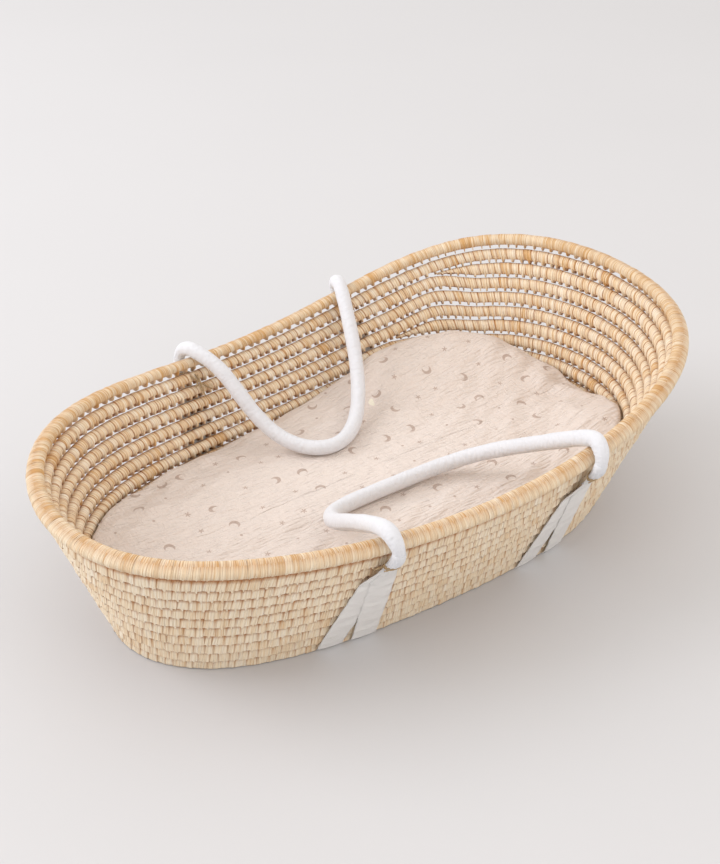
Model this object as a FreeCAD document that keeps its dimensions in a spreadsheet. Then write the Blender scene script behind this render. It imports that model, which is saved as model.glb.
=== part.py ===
import FreeCAD, Part
import os
from math import acos, cos, pi, radians, sin, sqrt, tan

V = FreeCAD.Vector

# Moses basket: a coiled palm-leaf wall on an oval base mat, lined with a foam mattress in a
# fitted sheet, and carried by two padded cotton handles. Each handle is bound to the wall just
# below the rim, and from there flat cotton straps run down the wall and under the base.
# +X points at the head end and +Z up. The origin is on the floor, in the middle of the rim.

doc = FreeCAD.newDocument("moses_basket")

# ---------------------------------------------------------------- driving dimensions, in mm
SIZES = {
    # rim, at the middle of its roll
    "rim_half_length": 410, "rim_half_width": 239, "rim_side_height": 182,
    "rim_head_rise": 71, "rim_foot_rise": 20, "rim_roll_radius": 10.6,
    # lowest coil, at the middle of its section
    "foot_half_length": 350, "foot_half_width": 169, "foot_shift": -5, "foot_height": 12,
    # coils of the wall
    "coil_thickness": 17, "coil_height": 20, "coil_gap": 0.3, "coil_rounds": 10,
    "short_coil_gap": 0.8, "short_coil_angle": 64, "short_coil_step": 12, "short_coil_taper": 16,
    "short_coil_tip": 0.3,
    # base mat
    "mat_thickness": 15, "mat_lift": 1.6, "mat_inset": 10, "mat_edge_radius": 5,
    # mattress and its fitted sheet
    "pad_bottom": 18.4, "pad_thickness": 71, "pad_inset": 11.5, "pad_edge_radius": 12,
    "sheet_thickness": 1.0, "sheet_gap": 0.3, "sheet_tuck": 55,
    # handles
    "anchor_left": -137, "anchor_right": 123, "hinge_out": 17.5, "hinge_drop": 12,
    "handle_radius": 10.2, "core_radius": 8.6, "core_gap": 0.3,
    "neck_radius": 5.5, "neck_length": 8,
    # flat straps and the twine that binds them
    "strap_width": 30, "strap_neck_width": 13, "strap_thickness": 1.2, "strap_gap": 0.3,
    "strap_top_drop": 10.7, "strap_neck_out": 12.7, "strap_flare": 0.25,
    "binding_drop": 13.7, "binding_half_width": 11, "binding_half_depth": 2.9,
    "twine_radius": 0.9, "twine_turns": 3,
}
sizes = doc.addObject("Spreadsheet::Sheet", "Sizes")
for row, (alias, value) in enumerate(SIZES.items(), start=1):
    sizes.set(f"A{row}", alias)
    sizes.set(f"B{row}", str(value))
    sizes.setAlias(f"B{row}", alias)
doc.recompute()


def size(alias):
    return float(sizes.get(alias))


parts = []                           # every object that is a piece of the basket


def piece(obj, label):
    """Name an object for the piece that it is, and list it for export."""
    obj.Label = label
    parts.append(obj)
    return obj


def shape_piece(shape, label, placement=None):
    """A piece whose surface no primitive or feature makes: its shape is set directly."""
    obj = doc.addObject("Part::Feature", label)
    obj.Shape = shape
    obj.Placement = placement or FreeCAD.Placement()
    return piece(obj, label)


# ---------------------------------------------------------------- shape of the wall
# A place on the wall is an angle round the oval (0 at the head, pi / 2 on the far side, pi at
# the foot) and a fraction of the way up from the lowest coil (0) to the rim roll (1).

def rim_centre(angle):
    """Middle of the rim roll: an egg in plan, fuller towards the head, swept up at both ends."""
    u = cos(angle)
    swell = 1 + 0.153 * u + 0.345 * u**2 - 0.084 * u**3
    tilt = (size("rim_head_rise") - size("rim_foot_rise")) / 2
    lift = (size("rim_head_rise") + size("rim_foot_rise")) / 2
    height = size("rim_side_height") + tilt * u + lift * (2.2 * u**2 - 1.2 * u**4)
    return V(size("rim_half_length") * u, size("rim_half_width") * sin(angle) * swell, height)


def foot_centre(angle):
    """Middle of the lowest coil, which lies flat round the base."""
    u = cos(angle)
    swell = 1 + 0.098 * u + 0.255 * u**2
    return V(size("foot_shift") + size("foot_half_length") * u,
             size("foot_half_width") * sin(angle) * swell, size("foot_height"))


def wall_point(angle, fraction):
    """Middle of the wall's thickness."""
    low = foot_centre(angle)
    return low + (rim_centre(angle) - low) * fraction


def wall_axes(angle, fraction):
    """Unit vectors along the coil, up the wall, and out of it."""
    step = 0.002
    along = (wall_point(angle + step, fraction) - wall_point(angle - step, fraction)).normalize()
    slope = rim_centre(angle) - foot_centre(angle)
    up = (slope - along * slope.dot(along)).normalize()
    return along, up, along.cross(up)


def angle_at(x, fraction, side):
    """Angle at which the wall has this x, on the far side (+1) or the near side (-1)."""
    middle = size("foot_shift") * (1 - fraction)
    half = size("foot_half_length") * (1 - fraction) + size("rim_half_length") * fraction
    return side * acos((x - middle) / half)


def smooth_step(value):
    value = min(max(value, 0.0), 1.0)
    return value * value * (3 - 2 * value)


# ---------------------------------------------------------------- coils of the wall
# Full rounds go right round the basket. Two short coils are let in between them at the head,
# where the wall is deepest, and taper away on both sides.
SHORT_COILS = {"head_coil_low": 5, "head_coil_high": 8}     # each sits on top of this round
SECTIONS = 72                                               # round the basket


def short_start(order):
    return radians(size("short_coil_angle") - size("short_coil_step") * order)


def short_weight(order, angle):
    """Height of a short coil as a fraction of a full one, at this angle from the head."""
    turn = abs((angle + pi) % (2 * pi) - pi)
    return smooth_step((short_start(order) - turn) / radians(size("short_coil_taper")))


def coil_stack(angle):
    """(name, middle fraction, height fraction) of each coil, from the base to the rim."""
    stack = []
    for number in range(int(size("coil_rounds"))):
        stack.append((f"wall_coil_{number + 1:02d}", 1.0))
        for order, (name, below) in enumerate(SHORT_COILS.items()):
            if below == number:
                stack.append((name, short_weight(order, angle)))
    stack.append(("rim_roll", 1.0))
    total = sum(weight for _, weight in stack) - 1
    found, reached = {}, -0.5
    for name, weight in stack:
        found[name] = ((reached + weight / 2) / total, weight / total)
        reached += weight
    return found


def coil_section(name, angle, half_depth, gap):
    """Oval section of a coil, square to its run, filling its share of the wall's height."""
    middle, share = coil_stack(angle)[name]
    along, up, out = wall_axes(angle, middle)
    depth = (rim_centre(angle) - foot_centre(angle)).dot(up)
    half_height = min(depth * share, size("coil_height")) / 2 - gap / 2
    centre = wall_point(angle, middle)
    oval = [centre + up * (half_height * cos(turn)) + out * (half_depth * sin(turn))
            for turn in (2 * pi * k / 8 for k in range(8))]
    curve = Part.BSplineCurve()
    curve.interpolate(oval, PeriodicFlag=True)
    return Part.Wire([curve.toShape()])


def closed_ring(rings, faces=6):
    """Solid ring through closed sections, in a few tubes sewn end to end."""
    step = len(rings) // faces
    rings = rings + rings[:1]
    tubes = [Part.makeLoft(rings[k * step:(k + 1) * step + 1], False, False).Faces[0]
             for k in range(faces)]
    skin = Part.Shell(tubes)
    skin.sewShape()
    return Part.Solid(skin)


def full_coil(name, half_depth):
    rings = [coil_section(name, 2 * pi * k / SECTIONS, half_depth, size("coil_gap"))
             for k in range(SECTIONS)]
    return closed_ring(rings)


def short_coil(name, order):
    """A coil that runs round the head and thins out at both ends."""
    rings = []
    for k in range(-SECTIONS // 4, SECTIONS // 4 + 1):
        angle = 2 * pi * k / SECTIONS
        weight = short_weight(order, angle)
        if weight > size("short_coil_tip"):
            half_depth = size("coil_thickness") / 2 * sqrt(weight)
            rings.append(coil_section(name, angle, half_depth, size("short_coil_gap")))
    return Part.makeLoft(rings, True, False, False)


for name in coil_stack(0.0):
    if name in SHORT_COILS:
        shape_piece(short_coil(name, list(SHORT_COILS).index(name)), name)
    elif name == "rim_roll":
        shape_piece(full_coil(name, size("rim_roll_radius")), name)
    else:
        shape_piece(full_coil(name, size("coil_thickness") / 2), name)


# ---------------------------------------------------------------- base mat
def foot_outline(inset, points=32):
    """Closed smooth curve that follows the lowest coil, drawn in by the inset."""
    along = (size("foot_half_length") - inset) / size("foot_half_length")
    across = (size("foot_half_width") - inset) / size("foot_half_width")
    ring = [foot_centre(2 * pi * k / points) for k in range(points)]
    curve = Part.BSplineCurve()
    curve.interpolate([V(p.x * along, p.y * across, 0) for p in ring], PeriodicFlag=True)
    return curve


def origin_plane(body, role):
    return next(plane for plane in body.Origin.OriginFeatures if plane.Role == role)


mat = doc.addObject("PartDesign::Body", "base_mat")
outline = mat.newObject("Sketcher::SketchObject", "MatOutline")
outline.AttachmentSupport = [(origin_plane(mat, "XY_Plane"), "")]
outline.MapMode = "FlatFace"
outline.setExpression("AttachmentOffset.Base.z", "Sizes.mat_lift")
outline.addGeometry(foot_outline(size("mat_inset")), False)
pad = mat.newObject("PartDesign::Pad", "MatPad")
pad.Profile = outline
pad.setExpression("Length", "Sizes.mat_thickness")
doc.recompute()
edges = mat.newObject("PartDesign::Fillet", "MatEdges")
edges.Base = (pad, [f"Edge{number}" for number, edge in enumerate(pad.Shape.Edges, start=1)
                    if edge.BoundBox.ZLength < 0.01])
edges.setExpression("Radius", "Sizes.mat_edge_radius")
piece(mat, "base_mat")


# ---------------------------------------------------------------- mattress and fitted sheet
def lining_outline(height, inset, points=32):
    """Closed curve at a height inside the basket, drawn in from the middle of the wall."""
    ring = []
    for k in range(points):
        angle = 2 * pi * k / points
        low, high = foot_centre(angle), rim_centre(angle)
        fraction = (height - low.z) / (high.z - low.z)
        along, _, out = wall_axes(angle, fraction)
        flat = V(out.x, out.y, 0).normalize()
        ring.append(V(wall_point(angle, fraction).x - flat.x * inset,
                      wall_point(angle, fraction).y - flat.y * inset, height))
    curve = Part.BSplineCurve()
    curve.interpolate(ring, PeriodicFlag=True)
    return Part.Wire([curve.toShape()])


def lining_block(bottom, top, inset, edge_radius):
    """Block that fills the basket between two heights, with its top edge rounded."""
    block = Part.makeLoft([lining_outline(bottom, inset), lining_outline(top, inset)], True, True)
    rim = [edge for edge in block.Edges if edge.BoundBox.ZMin > top - 0.01]
    return block.makeFillet(edge_radius, rim).Solids[0]


pad_bottom, pad_top = size("pad_bottom"), size("pad_bottom") + size("pad_thickness")
shape_piece(lining_block(pad_bottom, pad_top, size("pad_inset"), size("pad_edge_radius")),
            "mattress_pad")

skin, gap = size("sheet_thickness"), size("sheet_gap")
outer = lining_block(pad_bottom - gap - skin, pad_top + gap + skin,
                     size("pad_inset") - gap - skin, size("pad_edge_radius") + gap + skin)
inner = lining_block(pad_bottom - gap, pad_top + gap,
                     size("pad_inset") - gap, size("pad_edge_radius") + gap)
mouth_inset = size("pad_inset") + size("sheet_tuck")
mouth = Part.makeLoft([lining_outline(pad_bottom - 3 * skin, mouth_inset),
                       lining_outline(pad_bottom + 3 * skin, mouth_inset)], True, True)
shape_piece(outer.cut([inner, mouth]), "fitted_sheet")


# ---------------------------------------------------------------- handles
def rim_at(x, side):
    return rim_centre(angle_at(x, 1.0, side))


def hinge_point(x, side):
    """Where a handle flexes, outside the wall and just below the rim."""
    rim = rim_at(x, side)
    return V(x, rim.y + side * size("hinge_out"), rim.z - size("hinge_drop"))


def over_rim(x, side, lean):
    """Points that lead a handle from its hinge up and over the rim roll, and inside."""
    arc = [(23.8, 2), (19, 16.5), (5, 24.5), (-11, 23.5)]         # out from and above the roll
    points = [hinge_point(x, side)]
    for number, (out, above) in enumerate(arc):
        rim = rim_at(x + lean * number, side)
        points.append(V(x + lean * number, rim.y + side * out, rim.z + above))
    return points


def rounded_path(points, trim):
    """Straight runs joined by tangent arcs, with both ends trimmed back.

    Each arc takes 0.45 of the shorter run beside it.
    """
    first = points[0] + (points[1] - points[0]).normalize() * trim
    last = points[-1] + (points[-2] - points[-1]).normalize() * trim
    edges, start, radii = [], first, []
    for before, corner, after in zip(points, points[1:], points[2:]):
        back, ahead = before - corner, after - corner
        turn = pi - back.getAngle(ahead)
        reach = 0.45 * min(back.Length, ahead.Length)
        radii.append(reach / tan(turn / 2))
        back.normalize()
        ahead.normalize()
        enter, leave = corner + back * reach, corner + ahead * reach
        inward = (back + ahead).normalize()
        hump = radii[-1] * (1 / cos(turn / 2) - 1)
        edges.append(Part.LineSegment(start, enter).toShape())
        edges.append(Part.Arc(enter, corner + inward * hump, leave).toShape())
        start = leave
    edges.append(Part.LineSegment(start, last).toShape())
    print("bend radii", [round(radius) for radius in radii])
    return Part.Wire(edges)


# Where each handle lies inside the basket, between its two curls over the rim
NEAR_DRAPE = [(-134, -180, 185), (-126, -136, 153), (-121, -100, 127), (-108, -71, 113),
              (-80, -58, 106), (-36, -56, 104), (18, -57, 104), (71, -61, 106),
              (106, -84, 122), (125, -124, 148), (126, -176, 182)]
FAR_DRAPE = [(-107, 184, 189), (-97, 154, 157), (-84, 123, 125), (-68, 93, 108),
             (-48, 66, 104), (-24, 53, 104), (4, 58, 105), (35, 83, 108),
             (62, 117, 121), (82, 152, 147), (95, 184, 177)]


def handle(name, side, drape, lean_left, lean_right):
    """Padded tube with tapered necks, and the soft core inside it."""
    left = over_rim(size("anchor_left"), side, lean_left)
    right = over_rim(size("anchor_right"), side, lean_right)
    points = left + [V(*place) for place in drape] + right[::-1]
    neck = size("neck_length")
    first = (points[1] - points[0]).normalize()
    last = (points[-2] - points[-1]).normalize()
    tube_line = rounded_path(points, neck)
    length = tube_line.Length

    route = doc.addObject("Part::Feature", f"{name}_route")
    route.Shape = tube_line
    radii = {"skin": "Sizes.handle_radius", "bore": "Sizes.core_radius + Sizes.core_gap",
             "core": "Sizes.core_radius"}
    tubes = {}
    for part_name, radius in radii.items():
        ring = doc.addObject("Part::Circle", f"{name}_{part_name}_ring")
        ring.setExpression("Radius", radius)
        ring.Placement = FreeCAD.Placement(points[0] + first * neck,
                                           FreeCAD.Rotation(V(0, 0, 1), first))
        sweep = doc.addObject("Part::Sweep", f"{name}_{part_name}")
        sweep.Sections = [ring]
        sweep.Spine = (route, [f"Edge{k + 1}" for k in range(len(tube_line.Edges))])
        sweep.Solid = True
        sweep.Frenet = False
        tubes[part_name] = sweep
    necks = []
    for end, direction in ((points[0], first), (points[-1], last)):
        cone = doc.addObject("Part::Cone", f"{name}_neck")
        cone.setExpression("Radius1", "Sizes.neck_radius")
        cone.setExpression("Radius2", "Sizes.handle_radius")
        cone.setExpression("Height", "Sizes.neck_length")
        cone.Placement = FreeCAD.Placement(end, FreeCAD.Rotation(V(0, 0, 1), direction))
        necks.append(cone)
    closed = doc.addObject("Part::MultiFuse", f"{name}_closed")
    closed.Shapes = [tubes["skin"]] + necks
    cover = doc.addObject("Part::Cut", f"{name}_cover")
    cover.Base = closed
    cover.Tool = tubes["bore"]
    piece(cover, f"{name}_cover")
    piece(tubes["core"], f"{name}_core")
    doc.recompute()
    area = pi * size("handle_radius") ** 2
    print(name, "length", round(length), "tube volume over section times length",
          round(tubes["skin"].Shape.Volume / (area * length), 4))


handle("near_handle", -1, NEAR_DRAPE, -1, 3)
handle("far_handle", 1, FAR_DRAPE, 4, -3)


# ---------------------------------------------------------------- flat straps
# Two straps leave each binding, one on the other, and part on the way down the wall.
STRAPS = {
    "left_outer_strap": ("anchor_left", -166, 0), "left_inner_strap": ("anchor_left", -125, 1),
    "right_inner_strap": ("anchor_right", 112, 0), "right_outer_strap": ("anchor_right", 157, 1),
}
WALL_STEPS, CORNER_STEPS = 14, 5


def cross_section(centre, across, out, width):
    half, skin = across * (width / 2), out * (size("strap_thickness") / 2)
    corners = [centre + half + skin, centre - half + skin,
               centre - half - skin, centre + half - skin]
    return Part.makePolygon(corners + corners[:1])


def below_rim(x, side, drop):
    """Angle and wall fraction of the place this far below the middle of the rim."""
    depth = rim_at(x, side).z - size("foot_height")
    fraction = 1 - drop / depth
    return angle_at(x, fraction, side), fraction


def strap_side(anchor, foot_x, layer, side):
    """Sections of one strap, from its binding on one side down to the floor."""
    pitch = size("strap_gap") + size("strap_thickness")
    lie = (size("coil_thickness") - size("strap_thickness")) / 2 + pitch * (layer + 1)
    neck = size("strap_neck_out") + pitch * (layer - 0.5)
    _, top = below_rim(anchor, side, size("strap_top_drop"))
    sections = []
    for step in range(WALL_STEPS + 1):
        down = step / WALL_STEPS
        angle = angle_at(anchor + (foot_x - anchor) * down, top * (1 - down), side)
        along, _, out = wall_axes(angle, top * (1 - down))
        flare = smooth_step(down / size("strap_flare"))
        centre = wall_point(angle, top * (1 - down)) + out * (neck + (lie - neck) * flare)
        widening = size("strap_width") - size("strap_neck_width")
        width = size("strap_neck_width") + widening * flare
        sections.append(cross_section(centre, along * -side, out, width))
    foot = wall_point(angle, 0)
    reach_down = size("foot_height") - size("strap_thickness") / 2
    for step in range(1, CORNER_STEPS + 1):
        turned = step / CORNER_STEPS
        facing = (out * (1 - turned) - V(0, 0, 1) * turned).normalize()
        centre = foot + facing * (lie + (reach_down - lie) * turned)
        sections.append(cross_section(centre, along * -side, facing, size("strap_width")))
    return sections


def flattened(loft):
    """The same solid, with a plane for each face of the loft that is flat."""
    faces = []
    for face in loft.Faces:
        corners = [corner.Point for corner in face.OuterWire.OrderedVertexes]
        square = (corners[1] - corners[0]).cross(corners[2] - corners[1]).normalize()
        if len(corners) == 4 and abs((corners[3] - corners[0]).dot(square)) < 1e-6:
            face = Part.Face(Part.makePolygon(corners + corners[:1]))
        faces.append(face)
    skin = Part.Shell(faces)
    skin.sewShape()
    solid = Part.Solid(skin)
    if solid.Volume < 0:
        solid.reverse()
    return solid


for name, (anchor, foot_x, layer) in STRAPS.items():
    near = strap_side(size(anchor), foot_x, layer, -1)
    far = strap_side(size(anchor), foot_x, layer, 1)
    shape_piece(flattened(Part.makeLoft(near + far[::-1], True, True)), name)


# ---------------------------------------------------------------- twine bindings
def binding(name, anchor, side):
    """Turns of twine round the gathered tops of two straps."""
    angle, fraction = below_rim(anchor, side, size("binding_drop"))
    along, up, out = wall_axes(angle, fraction)
    middle = wall_point(angle, fraction) + out * size("strap_neck_out")
    bend = size("binding_half_depth")
    reach = size("binding_half_width") - bend
    ends = [V(reach, bend, 0), V(reach + bend, 0, 0), V(reach, -bend, 0),
            V(-reach, -bend, 0), V(-reach - bend, 0, 0), V(-reach, bend, 0)]
    loop = Part.Wire([Part.Arc(*ends[:3]).toShape(), Part.makeLine(ends[2], ends[3]),
                      Part.Arc(*ends[3:]).toShape(), Part.makeLine(ends[5], ends[0])])
    wire_end = Part.Wire([Part.makeCircle(size("twine_radius"), ends[0], V(1, 0, 0))])
    solid = Part.makeSolid(loop.makePipe(wire_end).Shells[0])
    turns = int(size("twine_turns"))
    pitch = 2 * size("twine_radius") + size("strap_gap")
    stack = [solid.translated(V(0, 0, pitch * (k - (turns - 1) / 2))) for k in range(turns)]
    shape_piece(Part.makeCompound(stack), name,
                FreeCAD.Placement(middle, FreeCAD.Rotation(along, V(), up, "ZXY")))


for side, side_name in ((-1, "near"), (1, "far")):
    for end in ("left", "right"):
        binding(f"{side_name}_{end}_binding", size(f"anchor_{end}"), side)


# ---------------------------------------------------------------- check and export
doc.recompute()
for obj in doc.Objects:
    if "Invalid" in obj.State or "Error" in obj.State:
        raise RuntimeError(f"{obj.Label} did not recompute: {obj.State}")
for obj in parts:
    if obj.Shape.isNull() or not obj.Shape.isValid():
        raise RuntimeError(f"{obj.Label} has no valid shape")

os.makedirs("parts", exist_ok=True)
for obj in parts:
    obj.Shape.exportStep(f"parts/{obj.Label}.step")
    print(f"{obj.Label:22s} {len(obj.Shape.Solids)} solids  {obj.Shape.Volume / 1000:9.2f} cm3")
for side, side_name in ((-1, "near"), (1, "far")):
    ends = [hinge_point(size(alias), side) for alias in ("anchor_left", "anchor_right")]
    axis = (ends[1] - ends[0]) * -side
    print(f"{side_name} handle hinge", [round(v / 1000, 5) for v in (ends[0] + ends[1]) * 0.5],
          "axis", [round(v, 5) for v in axis.normalize()])
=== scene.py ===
"""Moses basket of coiled palm leaf, with two padded cotton handles, straps and a made-up mattress."""

import math

import bmesh
import bpy
import numpy as np
from mathutils import Matrix, Vector


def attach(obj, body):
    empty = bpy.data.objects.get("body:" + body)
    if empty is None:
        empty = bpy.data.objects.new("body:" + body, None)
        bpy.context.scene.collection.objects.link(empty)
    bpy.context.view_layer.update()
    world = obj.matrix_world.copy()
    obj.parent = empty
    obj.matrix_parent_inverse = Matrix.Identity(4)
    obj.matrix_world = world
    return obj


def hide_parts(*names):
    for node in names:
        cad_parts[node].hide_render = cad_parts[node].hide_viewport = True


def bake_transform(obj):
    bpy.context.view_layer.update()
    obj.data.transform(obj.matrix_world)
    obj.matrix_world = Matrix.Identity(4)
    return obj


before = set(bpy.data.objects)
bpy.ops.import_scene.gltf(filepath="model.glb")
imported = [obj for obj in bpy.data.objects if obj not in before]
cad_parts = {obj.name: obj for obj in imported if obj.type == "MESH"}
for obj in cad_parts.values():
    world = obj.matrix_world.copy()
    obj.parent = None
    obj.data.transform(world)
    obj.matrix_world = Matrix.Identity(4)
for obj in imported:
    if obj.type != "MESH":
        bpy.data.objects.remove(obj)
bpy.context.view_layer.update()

bl_info = {
    "name": "Coiled Palm Moses Basket",
    "version": (1, 0, 0),
    "blender": (4, 5, 0),
    "location": "View3D > Sidebar > Moses Basket",
    "description": "Builds a coiled palm basket with padded handles, straps and a mattress",
    "category": "Object",
}


# ---------------------------------------------------------------- colours and user settings
def linear(hex_colour):
    """sRGB hex colour as the linear RGBA that the sockets take."""
    parts = [int(hex_colour[k:k + 2], 16) / 255 for k in (1, 3, 5)]
    return tuple(c / 12.92 if c <= 0.04045 else ((c + 0.055) / 1.055) ** 2.4 for c in parts) + (1.0,)


def millimetres(name, description, default):
    """A length setting, given in millimetres and kept in metres."""
    return bpy.props.FloatProperty(name=name, description=description, default=default / 1000,
                                   min=0, unit="LENGTH", precision=4)


def colour(name, description, hex_colour):
    """A colour setting, given as an sRGB hex value."""
    return bpy.props.FloatVectorProperty(name=name, description=description, subtype="COLOR", size=4,
                                         min=0, max=1, default=linear(hex_colour))


class BasketSizes(bpy.types.PropertyGroup):
    """Sizes of the weaving and the cloth."""
    stitch: millimetres("Stitch width", "Width of one wrap of leaf round a wall coil", 11.6)
    groove: millimetres("Stitch groove", "Depth of the line between two wraps", 1.1)
    slot: millimetres("Slot height", "Height of the gaps between the upper coils", 5.2)
    low_slot: millimetres("Low slot height", "Height of the gaps between the lowest coils", 1.6)
    ragged: millimetres("Ragged edge", "How far the wraps hang past a coil outside", 3.0)
    rim_wrap: millimetres("Rim wrap width", "Width of one wrap of leaf round the rim", 6.5)
    handle_radius: millimetres("Handle radius", "Radius of the padded handles", 9.8)
    strap_width: millimetres("Strap width", "Width of the flat cotton straps", 32.0)
    strap_thickness: millimetres("Strap thickness", "Thickness of the strap cloth", 1.0)
    twine: millimetres("Twine radius", "Radius of the binding twine", 0.75)
    sheet_thickness: millimetres("Sheet thickness", "Thickness of the gauze sheet", 0.8)
    crown: millimetres("Mattress height", "Height of the middle of the made-up mattress", 93.0)


class FinishColours(bpy.types.PropertyGroup):
    """Colours of the leaf, the cloth and the stage."""
    leaf_light: colour("Pale leaf", "Palest wraps of palm leaf", "#FBF1E0")
    leaf: colour("Leaf", "Usual wraps of palm leaf", "#F2DDBD")
    leaf_dark: colour("Sunned leaf", "Darkest wraps of palm leaf", "#D8AA70")
    # the leaf is drawn paler on the outside of the wall
    leaf_outside: colour("Outer leaf", "Paler leaf on the outside", "#EDDFC8")
    # painted shade: the colour of the shade painted into the grooves between the wraps and under their lips
    painted_shade: colour("Leaf crease", "Shaded lines between the wraps", "#AB6B31")
    muslin: colour("Muslin", "Ground of the fitted sheet", "#E3D7CF")
    print: colour("Print", "Moons and stars on the sheet", "#B39C8F")
    cotton: colour("Cotton", "White cotton of the handles", "#DFE0E5")
    strap: colour("Strap", "White cotton of the straps", "#F2F0EE")
    twine: colour("Twine", "Flax twine of the bindings", "#CDB58E")
    floor: colour("Floor", "Plain floor under the basket", "#D1D1D3")


# ---------------------------------------------------------------- shape of the wall
# A place on the wall is a turn round the oval (0 at the head, pi / 2 on the far side) and a
# height from the lowest coil (0) to the rim roll (1). The formulas are those of the frame.
UP = np.array([0, 0, 1.0])
RIM_LENGTH, RIM_WIDTH, RIM_HEIGHT = 0.41, 0.239, 0.182                 # half sizes, and height at the middle
FOOT_LENGTH, FOOT_WIDTH, FOOT_HEIGHT, FOOT_BACK = 0.35, 0.169, 0.012, 0.005
HEAD_COILS = {"head_coil_low": (5, 64), "head_coil_high": (8, 52)}    # round below, where it starts
ROWS = 10
COIL_DEPTH, HEAD_COIL_DEPTH, RIM_DEPTH = 0.0085, 0.0083, 0.0106       # half thickness of each


def smooth(value):
    """Goes from 0 to 1 with soft ends as the value does."""
    value = np.clip(value, 0.0, 1.0)
    return value * value * (3 - 2 * value)


def nearest(angle):
    """The same angle, between -pi and pi."""
    return (angle + np.pi) % (2 * np.pi) - np.pi


def rim_line(turn):
    """Middle line of the rim roll, which rises towards the head and the foot."""
    u = np.cos(turn)
    swell = 1 + 0.153 * u + 0.345 * u**2 - 0.084 * u**3
    return np.stack([RIM_LENGTH * u, RIM_WIDTH * np.sin(turn) * swell,
                     RIM_HEIGHT + 0.0255 * u + 0.0455 * (2.2 * u**2 - 1.2 * u**4)], -1)


def foot_line(turn):
    """Middle line of the lowest coil."""
    u = np.cos(turn)
    swell = 1 + 0.098 * u + 0.255 * u**2
    return np.stack([-FOOT_BACK + FOOT_LENGTH * u, FOOT_WIDTH * np.sin(turn) * swell, FOOT_HEIGHT + 0 * u],
                    -1)


def wall_place(turn, height):
    """Place in the thickness of the wall."""
    low = foot_line(turn)
    return low + (rim_line(turn) - low) * np.asarray(height)[..., None]


def unit(vectors):
    """The same directions, with length 1."""
    return vectors / np.linalg.norm(vectors, axis=-1, keepdims=True)


def wall_frame(turn, height):
    """Unit vectors along the coil, up the wall and out of it."""
    along = unit(wall_place(turn + 0.002, height) - wall_place(turn - 0.002, height))
    slope = rim_line(turn) - foot_line(turn)
    up = unit(slope - along * (slope * along).sum(-1, keepdims=True))
    return along, up, np.cross(along, up)


def turn_at(x, height, side):
    """Turn at which the wall has this x, on the far side (+1) or the near side (-1)."""
    half = FOOT_LENGTH * (1 - height) + RIM_LENGTH * height
    return side * math.acos((x + FOOT_BACK * (1 - height)) / half)


def wall_point(x, height, side, out=0.0):
    """One point on the wall, moved out of it."""
    turn = np.array(turn_at(x, height, side))
    return wall_place(turn, height) + wall_frame(turn, height)[2] * out


def coil_rows(turn):
    """Middle and share of the wall's height for each coil."""
    bend = np.degrees(np.abs(nearest(turn)))
    rows = []
    for number in range(ROWS):
        rows.append((f"wall_coil_{number + 1:02d}", 1 + 0 * turn))
        rows += [(name, smooth((start - bend) / 16)) for name, (below, start) in HEAD_COILS.items()
                 if below == number]
    rows.append(("rim_roll", 1 + 0 * turn))
    total = sum(weight for _, weight in rows) - 1
    found, reached = {}, -0.5
    for name, weight in rows:
        found[name] = ((reached + weight / 2) / total, weight / total)
        reached = reached + weight
    return found


# ---------------------------------------------------------------- meshes
def grid_mesh(name, points, uv, marks=None, closed=(False, True), caps=False):
    """Object of a grid of points, with a UV map in metres and float marks for its material."""
    rows, cols = points.shape[:2]
    a, b = np.meshgrid(np.arange(rows - (not closed[0])), np.arange(cols - (not closed[1])), indexing="ij")
    a, b = a.ravel(), b.ravel()
    next_a, next_b = (a + 1) % rows, (b + 1) % cols
    faces = np.stack([a * cols + b, a * cols + next_b, next_a * cols + next_b, next_a * cols + b], -1)
    # the map runs on past a closed grid's seam, so its corners don't go back to the start
    corner_uv = uv[np.stack([a, a, a + 1, a + 1], -1), np.stack([b, b + 1, b + 1, b], -1)].reshape(-1, 2)
    face_list = faces.tolist()
    if caps:
        first, last = list(range(cols)), list(range((rows - 1) * cols, rows * cols))
        face_list += [first[::-1], last]
        corner_uv = np.vstack([corner_uv, uv[0, :cols][::-1], uv[-1, :cols]])
    mesh = bpy.data.meshes.new(name)
    mesh.from_pydata(points.reshape(-1, 3).tolist(), [], face_list)
    layer = mesh.uv_layers.new(name="wrap")
    layer.data.foreach_set("uv", corner_uv.astype(np.float32).ravel())
    for mark, values in (marks or {}).items():
        attribute = mesh.attributes.new(mark, "FLOAT", "POINT")
        attribute.data.foreach_set("value", np.broadcast_to(values, (rows, cols)).astype(np.float32).ravel())
    mesh.polygons.foreach_set("use_smooth", np.ones(len(mesh.polygons), bool))
    mesh.update()
    made = bpy.data.objects.new(name, mesh)
    bpy.context.scene.collection.objects.link(made)
    return made


def finish_piece(piece, material, body, nodes=()):
    """Gives a piece its material, its body and the frame nodes that it stands for."""
    piece.data.materials.append(material)
    if body:
        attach(piece, body)
    if nodes:
        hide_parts(*nodes)
    return piece


def joined(pieces, name):
    """One object made of several."""
    first = pieces[0]
    with bpy.context.temp_override(active_object=first, object=first, selected_objects=pieces,
                                   selected_editable_objects=pieces):
        bpy.ops.object.join()
    first.name = name
    return first


def distance_along(line):
    """Distance along a line at each of its points."""
    return np.concatenate([[0], np.cumsum(np.linalg.norm(np.diff(line, axis=0), axis=1))])


def places_along(line, length, at):
    """Points of a line at these distances along it."""
    return np.stack([np.interp(at, length, line[:, k]) for k in range(3)], -1)


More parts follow.
